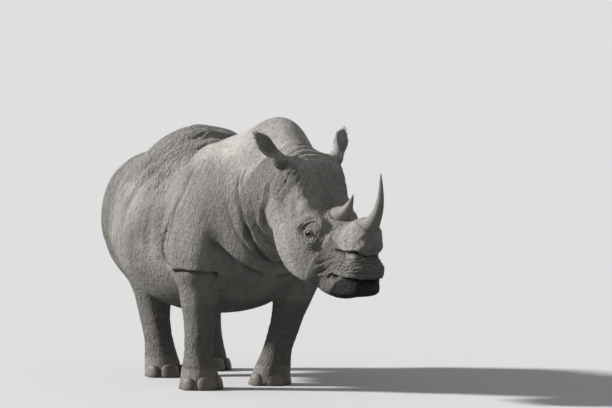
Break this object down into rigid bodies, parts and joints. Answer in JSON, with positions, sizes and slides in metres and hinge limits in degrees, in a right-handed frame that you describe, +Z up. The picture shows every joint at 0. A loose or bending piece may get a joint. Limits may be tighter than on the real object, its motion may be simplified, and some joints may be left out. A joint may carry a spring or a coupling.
{
  "type": "white rhinoceros",
  "caption": "Adult white rhinoceros standing in mid step with its head lowered and turned to its left, horns and folded grey hide.",
  "frame": {"origin": "on the floor, under the centre of the bounding box", "axes": "+X is the way the body faces, +Y is the animal's left, +Z is up"},
  "size_m": [3.2264, 1.2064, 1.7445],
  "materials": {
    "hide": "dry, wrinkled, almost hairless grey skin",
    "horn": "dull keratin, fibrous at the base and rubbed smooth at the tip",
    "hoof": "dull, dusty toenail",
    "eye": "wet, dark brown",
    "brush": "coarse dark hair at the end of the tail"
  },
  "bodies": {
    "root": {"trunk": "hide", "tail": "hide", "tail_brush": "brush", "neck": "hide", "head": "hide", "lower_jaw": "hide", "horn_front": "horn", "horn_rear": "horn", "ear_right": "hide", "eye_right": "eye", "foreleg_right": "hide", "toenail_fore_right_inner": "hoof", "toenail_fore_right_middle": "hoof", "toenail_fore_right_outer": "hoof", "hindleg_right": "hide", "toenail_hind_right_inner": "hoof", "toenail_hind_right_middle": "hoof", "toenail_hind_right_outer": "hoof", "ear_left": "hide", "eye_left": "eye", "foreleg_left": "hide", "toenail_fore_left_inner": "hoof", "toenail_fore_left_middle": "hoof", "toenail_fore_left_outer": "hoof", "hindleg_left": "hide", "toenail_hind_left_inner": "hoof", "toenail_hind_left_middle": "hoof", "toenail_hind_left_outer": "hoof"}
  },
  "joints": []
}
